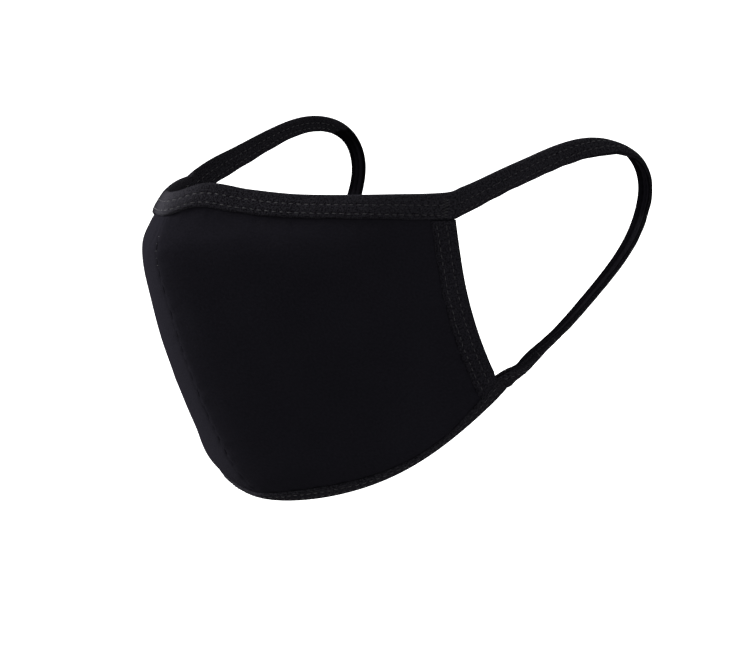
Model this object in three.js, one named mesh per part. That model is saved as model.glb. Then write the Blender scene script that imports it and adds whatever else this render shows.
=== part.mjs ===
// A plain black cloth face mask, in the shape it takes when it is worn.
// Two cut panels meet at a curved centre seam. A folded tape binds the top edge and
// another binds the bottom edge, and past the corners the tape becomes the ear loops.
// A narrow folded hem closes each panel's rear edge.
//
// Millimetres. X points to the wearer's left, Y to the back of the head, Z up.
// The origin is the middle of the nose bridge, just above the seam's upper end.
import * as THREE from "three";

// ---------------------------------------------------------------- driving dimensions
const PANEL_THICKNESS = 1;
const TAPE_WALL = 1.0;
const GAP = 0.3;
const BINDING_WIDTH = 9.7;
const HEM_WIDTH = 10;
const LOOP_THICKNESS = 2;
const LOOP_CURL = 1;
const LOOP_END_CLEARANCE = 2;
const LOOP_END_WIDTH = 8.8;
const EDGE_IN_FOLD = 1.7;
const RIDGE_ROUNDING = 3;
const RISE_SCALE = 4.8;

const PANEL_COLUMNS = 18;
const OPEN_ROWS = 18;
const LOOP_STEPS = 56;

const QUARTER_TURN = Math.PI / 2;
const FINE_STEP = 1e-3;
const DEPTH_STEPS = 400;

// Levels down the mask, from the top edge to the bottom edge. Each one is a line that runs
// from the centre ridge back to the side edge. flare is how fast it leaves the ridge
// backwards, and full and rise are how far the cheek stands out and up between the two.
const LEVELS = [
  { at: 0.00, ridgeY: -5.3, ridgeZ: -2.2, sideX: 68.5, sideY: 62.3, sideZ: -2.5, flare: 0.78, full: 0, rise: 0 },
  { at: 0.08, ridgeY: -10.7, ridgeZ: -11.0, sideX: 68.6, sideY: 62.2, sideZ: -9.0, flare: 0.75, full: 0, rise: 0 },
  { at: 0.18, ridgeY: -15.6, ridgeZ: -23.5, sideX: 68.5, sideY: 63.8, sideZ: -19.0, flare: 0.65, full: 0, rise: 0 },
  { at: 0.34, ridgeY: -9.4, ridgeZ: -44.0, sideX: 67.8, sideY: 68.0, sideZ: -35.5, flare: 0.54, full: 0, rise: 0 },
  { at: 0.55, ridgeY: 1.8, ridgeZ: -70.0, sideX: 66.0, sideY: 75.1, sideZ: -51.0, flare: 0.50, full: 0.6, rise: 0 },
  { at: 0.74, ridgeY: 14.6, ridgeZ: -92.2, sideX: 65.0, sideY: 81.8, sideZ: -62.8, flare: 0.48, full: 1.6, rise: 0.2 },
  { at: 0.86, ridgeY: 24.2, ridgeZ: -104.7, sideX: 65.4, sideY: 84.0, sideZ: -67.0, flare: 0.45, full: 3.4, rise: 0.6 },
  { at: 0.93, ridgeY: 33.6, ridgeZ: -110.6, sideX: 65.2, sideY: 85.3, sideZ: -69.3, flare: 0.38, full: 3.2, rise: 1.0 },
  { at: 1.00, ridgeY: 42.7, ridgeZ: -112.8, sideX: 61.0, sideY: 93.6, sideZ: -73.4, flare: 0.18, full: -1.8, rise: 1.6 },
];

// The top edge rises over the nose bridge, a little to the wearer's left of the seam, and
// dips over the cheeks, more on the wearer's right. Swing -1 is the right corner and 1 the
// left one, and lift is added to the height of the uppermost level.
const TOP_EDGE = [
  { swing: -1.00, lift: -2.4 },
  { swing: -0.88, lift: -3.2 },
  { swing: -0.60, lift: -5.0 },
  { swing: -0.34, lift: -4.6 },
  { swing: -0.16, lift: -2.4 },
  { swing: 0.00, lift: -1.2 },
  { swing: 0.09, lift: 2.3 },
  { swing: 0.20, lift: 0.2 },
  { swing: 0.34, lift: -1.4 },
  { swing: 0.66, lift: -1.0 },
  { swing: 0.88, lift: -0.5 },
  { swing: 1.00, lift: 0.0 },
];

// The left ear loop from the upper corner, over the ear and down to the lower corner.
// turn is the ribbon's turn about its own route in degrees: 0 lies flat against the cheek.
const LOOP_ROUTE = [
  { x: 69.0, y: 73.0, z: -4.2, turn: -2, width: 8.0 },
  { x: 69.8, y: 84.0, z: -0.4, turn: -6, width: 7.4 },
  { x: 71.2, y: 97.0, z: 3.8, turn: -14, width: 7.1 },
  { x: 72.3, y: 109.0, z: 7.5, turn: -24, width: 7.0 },
  { x: 73.4, y: 120.4, z: 9.9, turn: -36, width: 6.9 },
  { x: 74.0, y: 131.0, z: 10.1, turn: -54, width: 6.8 },
  { x: 74.2, y: 140.2, z: 7.8, turn: -72, width: 6.2 },
  { x: 74.1, y: 146.8, z: 2.8, turn: -85, width: 5.4 },
  { x: 73.9, y: 149.9, z: -4.6, turn: -90, width: 5.2 },
  { x: 73.6, y: 148.9, z: -13.0, turn: -90, width: 5.1 },
  { x: 73.0, y: 143.2, z: -24.6, turn: -90, width: 5.0 },
  { x: 72.0, y: 134.6, z: -34.6, turn: -88, width: 5.0 },
  { x: 70.2, y: 123.5, z: -45.4, turn: -84, width: 5.3 },
  { x: 67.9, y: 112.2, z: -55.6, turn: -78, width: 5.8 },
  { x: 65.6, y: 102.4, z: -63.2, turn: -66, width: 6.6 },
  { x: 64.2, y: 95.2, z: -69.0, turn: -50, width: 7.0 },
];

// ---------------------------------------------------------------- curves through a table
// A smooth value between the rows of a table, by cubic pieces whose slopes at each row come
// from the rows on either side.
function slopeAt(table, key, column, row) {
  const before = table[Math.max(row - 1, 0)];
  const after = table[Math.min(row + 1, table.length - 1)];
  return (after[column] - before[column]) / (after[key] - before[key]);
}

function valueAt(table, key, column, place) {
  let row = 0;
  while (row < table.length - 2 && place > table[row + 1][key]) row += 1;
  const lower = table[row];
  const upper = table[row + 1];
  const span = upper[key] - lower[key];
  const part = (place - lower[key]) / span;
  const startSlope = slopeAt(table, key, column, row) * span;
  const endSlope = slopeAt(table, key, column, row + 1) * span;
  const squared = part * part;
  const cubed = squared * part;
  return (2 * cubed - 3 * squared + 1) * lower[column]
    + (cubed - 2 * squared + part) * startSlope
    + (3 * squared - 2 * cubed) * upper[column]
    + (cubed - squared) * endSlope;
}

// ---------------------------------------------------------------- the mask's middle surface
// level runs from 0 at the top edge to 1 at the bottom edge, and swing from -1 at the right
// side edge through 0 at the centre ridge to 1 at the left side edge.
function surfacePoint(level, swing) {
  const row = (column) => valueAt(LEVELS, "at", column, level);
  const angle = Math.abs(swing) * QUARTER_TURN;
  const side = Math.sign(swing);
  const across = row("sideX") * Math.sin(angle);
  const spread = (distance) => row("flare") * (Math.hypot(distance, RIDGE_ROUNDING) - RIDGE_ROUNDING);
  const turnedBack = 1 - Math.cos(angle);
  const remaining = row("sideY") - row("ridgeY") - spread(row("sideX"));
  const bulge = row("full") * Math.sin(2 * angle) ** 2;
  const raised = row("rise") * RISE_SCALE * Math.sin(angle) ** 8 * Math.cos(angle);
  const fade = Math.max(0, 1 - level / LEVELS[3].at) ** 2;
  const lift = valueAt(TOP_EDGE, "swing", "lift", swing) * fade;
  return new THREE.Vector3(
    side * (across + bulge * Math.sin(angle)),
    row("ridgeY") + spread(across) + remaining * turnedBack - bulge * Math.cos(angle),
    row("ridgeZ") + (row("sideZ") - row("ridgeZ")) * turnedBack + raised + lift,
  );
}

function surfaceNormal(level, swing) {
  const lowerLevel = Math.min(level, 1 - FINE_STEP);
  const rightSwing = Math.min(swing, 1 - FINE_STEP);
  const here = surfacePoint(lowerLevel, rightSwing);
  const alongRow = surfacePoint(lowerLevel, rightSwing + FINE_STEP).sub(here);
  const downColumn = surfacePoint(lowerLevel + FINE_STEP, rightSwing).sub(here);
  return downColumn.cross(alongRow).normalize();
}

function offsetPoint(level, swing, outward) {
  return surfacePoint(level, swing).addScaledVector(surfaceNormal(level, swing), outward);
}

// The level that lies a given distance down the column from the top edge, or up from the
// bottom edge where fromBottom is true.
function levelAtDepth(swing, depth, fromBottom) {
  const levelOf = (step) => (fromBottom ? 1 - step / DEPTH_STEPS : step / DEPTH_STEPS);
  let travelled = 0;
  let previous = surfacePoint(levelOf(0), swing);
  for (let step = 1; step <= DEPTH_STEPS; step += 1) {
    const next = surfacePoint(levelOf(step), swing);
    const length = next.distanceTo(previous);
    if (travelled + length >= depth) return levelOf(step - 1 + (depth - travelled) / length);
    travelled += length;
    previous = next;
  }
  return levelOf(DEPTH_STEPS);
}

// The swing that lies a given distance in along the row from the side edge.
function swingAtInset(level, inset, side) {
  let travelled = 0;
  let previous = surfacePoint(level, side);
  for (let step = 1; step <= DEPTH_STEPS; step += 1) {
    const swing = side * (1 - step / DEPTH_STEPS);
    const next = surfacePoint(level, swing);
    const length = next.distanceTo(previous);
    if (travelled + length >= inset) {
      return side * (1 - (step - 1 + (inset - travelled) / length) / DEPTH_STEPS);
    }
    travelled += length;
    previous = next;
  }
  return 0;
}

// ---------------------------------------------------------------- closed meshes
function geometryFrom(points, triangles) {
  const geometry = new THREE.BufferGeometry();
  const positions = points.flatMap((point) => [point.x, point.y, point.z]);
  geometry.setAttribute("position", new THREE.Float32BufferAttribute(positions, 3));
  geometry.setIndex(triangles);
  geometry.computeVertexNormals();
  return geometry;
}

function signedVolume(points, triangles) {
  let volume = 0;
  for (let index = 0; index < triangles.length; index += 3) {
    const [first, second, third] = triangles.slice(index, index + 3).map((corner) => points[corner]);
    volume += first.dot(second.clone().cross(third)) / 6;
  }
  return volume;
}

function outwardGeometry(points, triangles) {
  if (signedVolume(points, triangles) < 0) {
    for (let index = 0; index < triangles.length; index += 3) {
      [triangles[index], triangles[index + 1]] = [triangles[index + 1], triangles[index]];
    }
  }
  return geometryFrom(points, triangles);
}

// A solid swept through rings that all follow the same closed outline, with flat ends.
function sweptGeometry(rings, outline) {
  const points = rings.flat();
  const count = outline.length;
  const triangles = [];
  for (let ring = 0; ring < rings.length - 1; ring += 1) {
    for (let corner = 0; corner < count; corner += 1) {
      const here = ring * count + corner;
      const beside = ring * count + (corner + 1) % count;
      triangles.push(here, beside, here + count);
      triangles.push(beside, beside + count, here + count);
    }
  }
  const last = (rings.length - 1) * count;
  for (const [first, second, third] of THREE.ShapeUtils.triangulateShape(outline, [])) {
    triangles.push(first, third, second);
    triangles.push(last + first, last + second, last + third);
  }
  return outwardGeometry(points, triangles);
}

function clothMesh(name, geometry, colour, roughness) {
  const material = new THREE.MeshStandardMaterial({ color: colour, roughness, metalness: 0 });
  const mesh = new THREE.Mesh(geometry, material);
  mesh.name = name;
  return mesh;
}

// ---------------------------------------------------------------- the pieces
// The levels that every piece's rows follow, so that neighbours bend alike: a few under each
// binding, counted as distances from its edge, and the open ones evenly between them.
function rowLevels(swing) {
  const depths = [EDGE_IN_FOLD, BINDING_WIDTH / 2, BINDING_WIDTH + GAP];
  const upper = depths.map((depth) => levelAtDepth(swing, depth, false));
  const lower = depths.map((depth) => levelAtDepth(swing, depth, true)).reverse();
  const open = [];
  for (let row = 1; row < OPEN_ROWS; row += 1) {
    open.push(upper[2] + ((lower[0] - upper[2]) * row) / OPEN_ROWS);
  }
  return [...upper, ...open, ...lower];
}

// One cut panel: a sheet with an outer and an inner face. Its edges end inside the folds of
// the two bindings and of the hem, and its front edge stands half a gap from the seam.
function makePanel(name, side) {
  const columns = [];
  for (let column = 0; column <= PANEL_COLUMNS; column += 1) {
    const evenSwing = (side * column) / PANEL_COLUMNS;
    columns.push(rowLevels(evenSwing).map((level) => {
      const seamSwing = Math.asin(GAP / 2 / valueAt(LEVELS, "at", "sideX", level)) / QUARTER_TURN;
      let swing = evenSwing;
      if (column === 0) swing = side * seamSwing;
      if (column === PANEL_COLUMNS) swing = swingAtInset(level, EDGE_IN_FOLD, side);
      return { level, swing };
    }));
  }
  const layerAt = (outward) => (
    columns.flatMap((column) => column.map(({ level, swing }) => offsetPoint(level, swing, outward)))
  );
  const outer = layerAt(PANEL_THICKNESS / 2);
  const inner = layerAt(-PANEL_THICKNESS / 2);
  const tall = columns[0].length;
  const layer = outer.length;
  const triangles = [];
  const quad = (first, second, third, fourth) => {
    triangles.push(first, second, third, first, third, fourth);
  };
  const wall = (first, second) => quad(first, second, layer + second, layer + first);
  for (let column = 0; column < PANEL_COLUMNS; column += 1) {
    for (let row = 0; row < tall - 1; row += 1) {
      const here = column * tall + row;
      quad(here, here + tall, here + tall + 1, here + 1);
      quad(layer + here, layer + here + 1, layer + here + tall + 1, layer + here + tall);
    }
    wall((column + 1) * tall, column * tall);
    wall((column + 1) * tall - 1, (column + 2) * tall - 1);
  }
  for (let row = 0; row < tall - 1; row += 1) {
    wall(row, row + 1);
    wall(PANEL_COLUMNS * tall + row + 1, PANEL_COLUMNS * tall + row);
  }
  return clothMesh(name, outwardGeometry([...outer, ...inner], triangles), 0x141318, 0.95);
}

// The outline of a tape folded over an edge: x is the distance in from the folded edge and y
// the height above the middle surface. The slot between its walls takes the panel's edge.
function foldedTapeOutline(width) {
  const halfSlot = PANEL_THICKNESS / 2 + GAP;
  const halfTape = halfSlot + TAPE_WALL;
  const slotEnd = EDGE_IN_FOLD - GAP;
  const middle = width / 2;
  return [
    new THREE.Vector2(width, halfTape),
    new THREE.Vector2(middle, halfTape),
    new THREE.Vector2(TAPE_WALL, halfTape),
    new THREE.Vector2(0, halfTape / 2),
    new THREE.Vector2(0, -halfTape / 2),
    new THREE.Vector2(TAPE_WALL, -halfTape),
    new THREE.Vector2(middle, -halfTape),
    new THREE.Vector2(width, -halfTape),
    new THREE.Vector2(width, -halfSlot),
    new THREE.Vector2(middle, -halfSlot),
    new THREE.Vector2(slotEnd, -halfSlot),
    new THREE.Vector2(slotEnd, halfSlot),
    new THREE.Vector2(middle, halfSlot),
    new THREE.Vector2(width, halfSlot),
  ];
}

function makeBinding(name, fromBottom) {
  const outline = foldedTapeOutline(BINDING_WIDTH);
  const rings = [];
  for (let step = -PANEL_COLUMNS; step <= PANEL_COLUMNS; step += 1) {
    const swing = step / PANEL_COLUMNS;
    rings.push(outline.map(({ x, y }) => offsetPoint(levelAtDepth(swing, x, fromBottom), swing, y)));
  }
  return clothMesh(name, sweptGeometry(rings, outline), 0x1a191e, 0.95);
}

// A hem's rings keep to the panel's own rows, so its ends stay clear of both bindings.
function makeHem(name, side) {
  const outline = foldedTapeOutline(HEM_WIDTH);
  const rings = rowLevels(side).slice(2, -2).map((sideLevel, row) => (
    outline.map(({ x, y }) => {
      const level = rowLevels(swingAtInset(sideLevel, x, side))[row + 2];
      return offsetPoint(level, swingAtInset(level, x, side), y);
    })
  ));
  return clothMesh(name, sweptGeometry(rings, outline), 0x18171c, 0.95);
}

// The ribbon's outline: x runs across its width and y from its inner to its outer face,
// with its two edges curled towards the inner face.
function ribbonOutline(width) {
  const half = width / 2;
  const crown = (x) => LOOP_CURL * (0.5 - (x / half) ** 2);
  const across = [-1, -0.4, 0.4, 1].map((share) => share * half);
  const upper = across.map((x) => new THREE.Vector2(x, crown(x) + LOOP_THICKNESS / 2));
  const lower = across.map((x) => new THREE.Vector2(x, crown(x) - LOOP_THICKNESS / 2));
  return [...lower, ...upper.reverse()];
}

// A ribbon's frame: its face is turned about its route, from lying flat against the cheek.
function flatFrame(along, side) {
  const outward = new THREE.Vector3(side, 0, 0);
  const face = outward.addScaledVector(along, -outward.dot(along)).normalize();
  const across = along.clone().cross(face).multiplyScalar(side);
  return { face, across };
}

// Where a loop leaves the end of a binding: just clear of the middle of the tape, with the
// turn of the tape's own face there. skew is how far the tape's end leans out of square.
function bindingEnd(side, fromBottom) {
  const level = levelAtDepth(side, BINDING_WIDTH / 2, fromBottom);
  const end = surfacePoint(level, side);
  const away = end.clone().sub(surfacePoint(level, side * (1 - FINE_STEP))).normalize();
  const { face, across } = flatFrame(away.clone().multiplyScalar(fromBottom ? -1 : 1), side);
  const normal = surfaceNormal(level, side);
  const turn = THREE.MathUtils.radToDeg(Math.atan2(normal.dot(across), normal.dot(face)));
  const tapeEnd = surfacePoint(level + FINE_STEP, side).sub(end);
  const skew = tapeEnd.dot(away) / tapeEnd.dot(away.clone().cross(normal));
  const point = end.addScaledVector(away, LOOP_END_CLEARANCE);
  return { point, turn, skew, width: LOOP_END_WIDTH };
}

function makeEarLoop(name, side) {
  const stations = [
    bindingEnd(side, false),
    ...LOOP_ROUTE.map(({ x, y, z, ...ribbon }) => (
      { point: new THREE.Vector3(side * x, y, z), skew: 0, ...ribbon }
    )),
    bindingEnd(side, true),
  ];
  const route = new THREE.CatmullRomCurve3(stations.map((station) => station.point));
  const ribbon = new THREE.CatmullRomCurve3(
    stations.map(({ turn, width, skew }) => new THREE.Vector3(skew, turn, width)),
  );
  const rings = [];
  for (let step = 0; step <= LOOP_STEPS; step += 1) {
    const centre = route.getPoint(step / LOOP_STEPS);
    const along = route.getTangent(step / LOOP_STEPS);
    const shape = ribbon.getPoint(step / LOOP_STEPS);
    const turn = THREE.MathUtils.degToRad(shape.y);
    const { face, across } = flatFrame(along, side);
    const normal = face.multiplyScalar(Math.cos(turn)).addScaledVector(across, Math.sin(turn));
    const sideways = along.clone().cross(normal).addScaledVector(along, shape.x);
    rings.push(ribbonOutline(shape.z).map(({ x, y }) => (
      centre.clone().addScaledVector(sideways, x).addScaledVector(normal, y)
    )));
  }
  return clothMesh(name, sweptGeometry(rings, ribbonOutline(LOOP_END_WIDTH)), 0x1a191e, 0.95);
}

// ---------------------------------------------------------------- the mask
const mask = new THREE.Group();
mask.add(
  makePanel("left_panel", 1),
  makePanel("right_panel", -1),
  makeBinding("top_binding", false),
  makeBinding("bottom_binding", true),
  makeHem("left_side_hem", 1),
  makeHem("right_side_hem", -1),
  makeEarLoop("left_ear_loop", 1),
  makeEarLoop("right_ear_loop", -1),
);

export default mask;
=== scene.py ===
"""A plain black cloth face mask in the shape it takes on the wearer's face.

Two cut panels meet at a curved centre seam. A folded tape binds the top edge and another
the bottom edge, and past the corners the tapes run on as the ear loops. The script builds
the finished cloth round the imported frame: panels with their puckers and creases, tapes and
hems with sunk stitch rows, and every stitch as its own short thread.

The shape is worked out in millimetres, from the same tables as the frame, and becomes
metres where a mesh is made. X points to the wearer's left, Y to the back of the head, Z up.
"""

import math

import bpy
import numpy as np
from mathutils import Matrix, Vector


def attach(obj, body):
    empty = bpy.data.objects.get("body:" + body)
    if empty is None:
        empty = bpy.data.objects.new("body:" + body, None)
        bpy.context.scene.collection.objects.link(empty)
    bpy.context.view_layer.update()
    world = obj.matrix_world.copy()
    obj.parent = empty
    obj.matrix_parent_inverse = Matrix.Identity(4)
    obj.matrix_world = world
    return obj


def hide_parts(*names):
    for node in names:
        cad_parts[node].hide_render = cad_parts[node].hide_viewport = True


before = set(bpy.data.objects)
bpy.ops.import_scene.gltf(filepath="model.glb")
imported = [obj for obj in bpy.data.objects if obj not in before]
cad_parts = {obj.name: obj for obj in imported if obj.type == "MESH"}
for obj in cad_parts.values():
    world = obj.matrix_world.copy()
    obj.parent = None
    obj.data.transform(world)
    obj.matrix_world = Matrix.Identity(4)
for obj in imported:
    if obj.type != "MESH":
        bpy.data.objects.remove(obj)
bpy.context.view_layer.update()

MM = 0.001
BODY = "root"
QUARTER_TURN = math.pi / 2

# ---------------------------------------------------------------- driving dimensions, mm
PANEL_THICKNESS = 1.0
TAPE_WALL = 1.0
GAP = 0.3
BINDING_WIDTH = 9.7
HEM_WIDTH = 10.0
LOOP_THICKNESS = 2.0
LOOP_CURL = 1.0
LOOP_END_WIDTH = 8.8
EDGE_IN_FOLD = 1.7
HALF_SLOT = PANEL_THICKNESS / 2 + GAP
SLOT_END = EDGE_IN_FOLD - GAP
RIDGE_ROUNDING = 3.0
RISE_SCALE = 4.8

STITCH_PITCH = 2.65
STITCH_LENGTH = 2.2
THREAD_RADIUS = 0.24
STITCH_ROWS = (0.39, 0.8)
STITCH_RISE = (-0.22, 0.06, 0.1, 0.06, -0.22)
STITCH_SUNK = 0.06

# Levels down the mask, from the top edge to the bottom edge: where the centre ridge and the
# side edge are, how fast the cloth leaves the ridge backwards (flare), and how far the
# cheek stands out (full) and up (rise) between the two.
LEVEL_COLUMNS = ("at", "ridge_y", "ridge_z", "side_x", "side_y", "side_z", "flare", "full", "rise")
LEVEL_ROWS = (
    (0.00, -5.3, -2.2, 68.5, 62.3, -2.5, 0.78, 0.0, 0.0),
    (0.08, -10.7, -11.0, 68.6, 62.2, -9.0, 0.75, 0.0, 0.0),
    (0.18, -15.6, -23.5, 68.5, 63.8, -19.0, 0.65, 0.0, 0.0),
    (0.34, -9.4, -44.0, 67.8, 68.0, -35.5, 0.54, 0.0, 0.0),
    (0.55, 1.8, -70.0, 66.0, 75.1, -51.0, 0.50, 0.6, 0.0),
    (0.74, 14.6, -92.2, 65.0, 81.8, -62.8, 0.48, 1.6, 0.2),
    (0.86, 24.2, -104.7, 65.4, 84.0, -67.0, 0.45, 3.4, 0.6),
    (0.93, 33.6, -110.6, 65.2, 85.3, -69.3, 0.38, 3.2, 1.0),
    (1.00, 42.7, -112.8, 61.0, 93.6, -73.4, 0.18, -1.8, 1.6),
)
TOP_FADE_LEVEL = 0.34

# The top edge's own rise and fall between the right corner (swing -1) and the left one (1).
TOP_EDGE_COLUMNS = ("swing", "lift")
TOP_EDGE_ROWS = (
    (-1.00, -2.4),
    (-0.88, -3.2),
    (-0.60, -5.0),
    (-0.34, -4.6),
    (-0.16, -2.4),
    (0.00, -1.2),
    (0.09, 2.3),
    (0.20, 0.2),
    (0.34, -1.4),
    (0.66, -1.0),
    (0.88, -0.5),
    (1.00, 0.0),
)

# The left ear loop from the upper corner, over the ear and down to the lower corner. turn
# is the ribbon's turn about its own route in degrees: 0 lies flat against the cheek.
LOOP_COLUMNS = ("x", "y", "z", "turn", "width")
LOOP_ROWS = (
    (69.0, 73.0, -4.2, -2, 8.0),
    (69.8, 84.0, -0.4, -6, 7.4),
    (71.2, 97.0, 3.8, -14, 7.1),
    (72.3, 109.0, 7.5, -24, 7.0),
    (73.4, 120.4, 9.9, -36, 6.9),
    (74.0, 131.0, 10.1, -54, 6.8),
    (74.2, 140.2, 7.8, -72, 6.2),
    (74.1, 146.8, 2.8, -85, 5.4),
    (73.9, 149.9, -4.6, -90, 5.2),
    (73.6, 148.9, -13.0, -90, 5.1),
    (73.0, 143.2, -24.6, -90, 5.0),
    (72.0, 134.6, -34.6, -88, 5.0),
    (70.2, 123.5, -45.4, -84, 5.3),
    (67.9, 112.2, -55.6, -78, 5.8),
    (65.6, 102.4, -63.2, -66, 6.6),
    (64.2, 95.2, -69.0, -50, 7.0),
)


def as_table(columns, rows):
    """A table as one array for each named column."""
    return dict(zip(columns, np.array(rows, float).T))


LEVELS = as_table(LEVEL_COLUMNS, LEVEL_ROWS)
TOP_EDGE = as_table(TOP_EDGE_COLUMNS, TOP_EDGE_ROWS)
LOOP = as_table(LOOP_COLUMNS, LOOP_ROWS)


# ---------------------------------------------------------------- the mask's middle surface
def value_at(table, key, column, place):
    """A smooth value between a table's rows, by cubic pieces whose slopes come from the
    rows on either side."""
    knots = table[key]
    values = table[column]
    index = np.arange(len(knots))
    before = np.maximum(index - 1, 0)
    after = np.minimum(index + 1, len(knots) - 1)
    slopes = (values[after] - values[before]) / (knots[after] - knots[before])
    row = np.clip(np.searchsorted(knots, place, side="left") - 1, 0, len(knots) - 2)
    span = knots[row + 1] - knots[row]
    part = (place - knots[row]) / span
    return (
        (2 * part**3 - 3 * part**2 + 1) * values[row]
        + (part**3 - 2 * part**2 + part) * slopes[row] * span
        + (3 * part**2 - 2 * part**3) * values[row + 1]
        + (part**3 - part**2) * slopes[row + 1] * span
    )


def surface(level, swing):
    """Points of the middle surface. level runs from 0 at the top edge to 1 at the bottom
    edge, and swing from -1 at the right side edge through 0 at the ridge to 1 at the left."""
    level, swing = np.broadcast_arrays(np.asarray(level, float), np.asarray(swing, float))
    row = {name: value_at(LEVELS, "at", name, level) for name in LEVEL_COLUMNS[1:]}
    angle = np.abs(swing) * QUARTER_TURN
    across = row["side_x"] * np.sin(angle)

    def spread(distance):
        return row["flare"] * (np.hypot(distance, RIDGE_ROUNDING) - RIDGE_ROUNDING)

    turned_back = 1 - np.cos(angle)
    remaining = row["side_y"] - row["ridge_y"] - spread(row["side_x"])
    bulge = row["full"] * np.sin(2 * angle) ** 2
    raised = row["rise"] * RISE_SCALE * np.sin(angle) ** 8 * np.cos(angle)
    fade = np.maximum(0, 1 - level / TOP_FADE_LEVEL) ** 2
    lift = value_at(TOP_EDGE, "swing", "lift", swing) * fade
    height = row["ridge_z"] + (row["side_z"] - row["ridge_z"]) * turned_back
    return np.stack(
        [
            np.sign(swing) * (across + bulge * np.sin(angle)),
            row["ridge_y"] + spread(across) + remaining * turned_back - bulge * np.cos(angle),
            height + raised + lift,
        ],
        axis=-1,
    )


def unit(vectors):
    """The vectors, each brought to length 1."""
    return vectors / np.linalg.norm(vectors, axis=-1, keepdims=True)


FINE_STEP = 1e-3


def surface_normal(level, swing):
    """The directions square to the middle surface, away from the face."""
    level, swing = np.broadcast_arrays(np.asarray(level, float), np.asarray(swing, float))
    level = np.minimum(level, 1 - FINE_STEP)
    swing = np.minimum(swing, 1 - FINE_STEP)
    here = surface(level, swing)
    along_row = surface(level, swing + FINE_STEP) - here
    down_column = surface(level + FINE_STEP, swing) - here
    return unit(np.cross(down_column, along_row))


def offset_point(level, swing, outward):
    """Points at a distance outward from the middle surface."""
    return surface(level, swing) + surface_normal(level, swing) * np.asarray(outward)[..., None]


DEPTH_STEPS = 400


def lengths_along(points):
    """The distance run along a row of points, from 0 at the first one."""
    steps = np.linalg.norm(np.diff(points, axis=-2), axis=-1)
    start = np.zeros(steps.shape[:-1] + (1,))
    return np.concatenate([start, np.cumsum(steps, axis=-1)], axis=-1)


def levels_at_depths(swing, depths, from_bottom):
    """For each swing, the levels that lie at its depths down the column from the top edge,
    or up from the bottom edge. depths has a row for each swing."""
    shares = np.linspace(0, 1, DEPTH_STEPS + 1)
    levels = 1 - shares if from_bottom else shares
    travelled = lengths_along(surface(levels[None, :], np.asarray(swing)[:, None]))
    return np.array([np.interp(want, run, levels) for want, run in zip(depths, travelled)])


def swings_at_insets(level, insets, side):
    """For each level, the swings that lie at its insets along the row from a side edge."""
    swings = side * np.linspace(1, 0, DEPTH_STEPS + 1)
    travelled = lengths_along(surface(np.asarray(level)[:, None], swings[None, :]))
    return np.array([np.interp(want, run, swings) for want, run in zip(insets, travelled)])


# ---------------------------------------------------------------- small shape helpers
def bump(distance, width):
    """A smooth hump, 1 at distance 0 and nearly 0 past twice its width."""
    return np.exp(-((distance / width) ** 2))


def ease(share):
    """A smooth step from 0 to 1."""
    share = np.clip(share, 0, 1)
    return share * share * (3 - 2 * share)


def ripple(seed, place, wavelength, waves=4):
    """A gentle random wave along a line, between about -1 and 1, the same every run."""
    random = np.random.default_rng(seed)
    total = np.zeros_like(place, dtype=float)
    for _ in range(waves):
        length = wavelength * random.uniform(0.7, 1.6)
        total = total + np.sin(2 * math.pi * (place / length + random.uniform()))
    return total / math.sqrt(2 * waves)


# ---------------------------------------------------------------- meshes
def grid_faces(tall, wide, closed=False):
    """Quads over a grid of points in rows, where closed joins each row's end to its start."""
    rows = np.arange(tall - 1)[:, None]
    columns = np.arange(wide if closed else wide - 1)[None, :]
    here = rows * wide + columns
    beside = rows * wide + (columns + 1) % wide
    return np.stack([here, beside, beside + wide, here + wide], axis=-1).reshape(-1, 4)


def add_object(name, data):
    """A new object in the scene."""
    item = bpy.data.objects.new(name, data)
    bpy.context.scene.collection.objects.link(item)
    return item


def add_piece(
    name, points, faces, cloth_place, material, replaces=(), painted_highlight=None, painted_shade=None
):
    """One closed mesh in the row frame. cloth_place gives each point's place in the cloth
    in millimetres, which the weave follows. The two optional arrays give how much painted
    highlight each point takes, and how much painted shade, smooth and dark."""
    mesh = bpy.data.meshes.new(name)
    mesh.from_pydata((np.asarray(points) * MM).tolist(), [], [list(face) for face in faces])
    corners = np.zeros(len(mesh.loops), int)
    mesh.loops.foreach_get("vertex_index", corners)
    layer = mesh.uv_layers.new(name="cloth")
    layer.data.foreach_set("uv", np.asarray(cloth_place, np.float32)[corners].ravel())
    for title, values in (("painted_highlight", painted_highlight), ("painted_shade", painted_shade)):
        if values is not None:
            attribute = mesh.attributes.new(title, "FLOAT", "POINT")
            attribute.data.foreach_set("value", np.asarray(values, np.float32).ravel())
    mesh.polygons.foreach_set("use_smooth", np.ones(len(mesh.polygons), bool))
    mesh.materials.append(material)
    mesh.validate()
    mesh.update()
    piece = add_object(name, mesh)
    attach(piece, BODY)
    if replaces:
        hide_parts(*replaces)
    return piece


def swept_faces(stations, outline_count):
    """The faces of a closed sweep: its skin, and one many-sided face over each end."""
    skin = grid_faces(stations, outline_count, closed=True).tolist()
    first = list(range(outline_count))
    last = [index + (stations - 1) * outline_count for index in first]
    return skin + [first[::-1], last]


def outward_faces(points, faces):
    """The faces, turned over if the solid that they close is inside out."""
    volume = 0.0
    centre = points.mean(axis=0)
    for face in faces:
        around = points[face] - centre
        volume += np.sum(np.cross(around[1:-1], around[2:]) @ around[0])
    return faces if volume > 0 else [face[::-1] for face in faces]


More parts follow.
